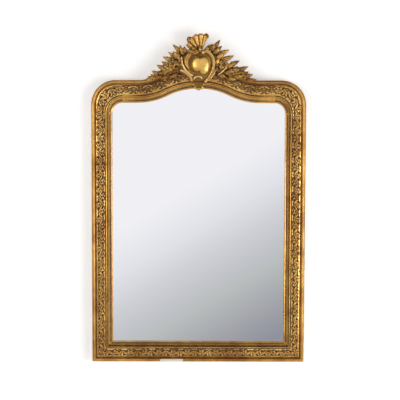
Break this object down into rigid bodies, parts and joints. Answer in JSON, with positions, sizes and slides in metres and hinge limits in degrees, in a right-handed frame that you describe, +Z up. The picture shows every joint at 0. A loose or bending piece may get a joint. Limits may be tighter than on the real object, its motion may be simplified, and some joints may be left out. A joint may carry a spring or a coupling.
{
  "type": "overmantel mirror",
  "caption": "Upright giltwood wall mirror with rounded shoulders, an arched top rail, a floral frieze, a carved cresting of shell, scrolls and leaves, and D-ring hangers on the back.",
  "frame": {"origin": "on the wall plane, on the centre line, at the height of the hanger pins, on the backboards' back", "axes": "+Z up, +Y out of the back into the wall, so the front faces -Y; +X to the viewer's right"},
  "size_m": [1.05, 0.0981, 1.6139],
  "materials": {
    "gilt": "water gilding on bole and gesso, rubbed and aged",
    "gilt_bright": "burnished gilding on bole and gesso",
    "gilt_aged": "matt gilding on gesso, darkened in the hollows",
    "pine": "planed, aged, bare",
    "mirror_glass": "plain silvered plate",
    "iron": "dull, lightly oxidised"
  },
  "bodies": {
    "frame": {"sight_moulding_bottom": "gilt_bright", "sight_moulding_stile_left": "gilt_bright", "sight_moulding_shoulder_left": "gilt_bright", "sight_moulding_arch_left": "gilt_bright", "sight_moulding_stile_right": "gilt_bright", "sight_moulding_shoulder_right": "gilt_bright", "sight_moulding_arch_right": "gilt_bright", "frieze_bottom": "gilt_aged", "frieze_stile_left": "gilt_aged", "frieze_shoulder_left": "gilt_aged", "frieze_arch_left": "gilt_aged", "frieze_stile_right": "gilt_aged", "frieze_shoulder_right": "gilt_aged", "frieze_arch_right": "gilt_aged", "outer_moulding_bottom": "gilt", "outer_moulding_stile_left": "gilt", "outer_moulding_shoulder_left": "gilt", "outer_moulding_arch_left": "gilt", "outer_moulding_stile_right": "gilt", "outer_moulding_shoulder_right": "gilt", "outer_moulding_arch_right": "gilt", "carcass_bottom_rail": "pine", "carcass_stile_left": "pine", "carcass_shoulder_left": "pine", "carcass_arch_left": "pine", "carcass_stile_right": "pine", "carcass_shoulder_right": "pine", "carcass_arch_right": "pine", "mirror_plate": "mirror_glass", "glazing_block_left_low": "pine", "glazing_block_left_high": "pine", "glazing_block_right_low": "pine", "glazing_block_right_high": "pine", "glazing_block_bottom": "pine", "glazing_block_top": "pine", "backboard_1": "pine", "backboard_2": "pine", "backboard_3": "pine", "backboard_top": "pine", "hanger_strap_left": "iron", "hanger_strap_right": "iron", "crest_core": "pine", "crest_batten": "pine", "cartouche_ground": "gilt_aged", "cartouche_boss": "gilt_bright", "scroll_right_inner": "gilt_bright", "scroll_right_outer": "gilt_bright", "scroll_left_upper": "gilt_bright", "scroll_left_lower": "gilt_bright", "scroll_base": "gilt_bright", "shell": "gilt", "acanthus_left": "gilt", "acanthus_crown": "gilt", "cartouche_drop": "gilt", "spray_left": "gilt_aged", "spray_right": "gilt_aged", "rose_left": "gilt", "rose_right": "gilt"},
    "ring_left": {"hanger_ring_left": "iron"},
    "ring_right": {"hanger_ring_right": "iron"}
  },
  "joints": [
    {"name": "ring_left_swing", "type": "hinge", "parent": "frame", "child": "ring_left", "pos_m": [-0.486, -0.0052, 0], "axis": [1, 0, 0], "range_deg": [0, 180]},
    {"name": "ring_right_swing", "type": "hinge", "parent": "frame", "child": "ring_right", "pos_m": [0.486, -0.0052, 0], "axis": [1, 0, 0], "range_deg": [0, 180]}
  ]
}
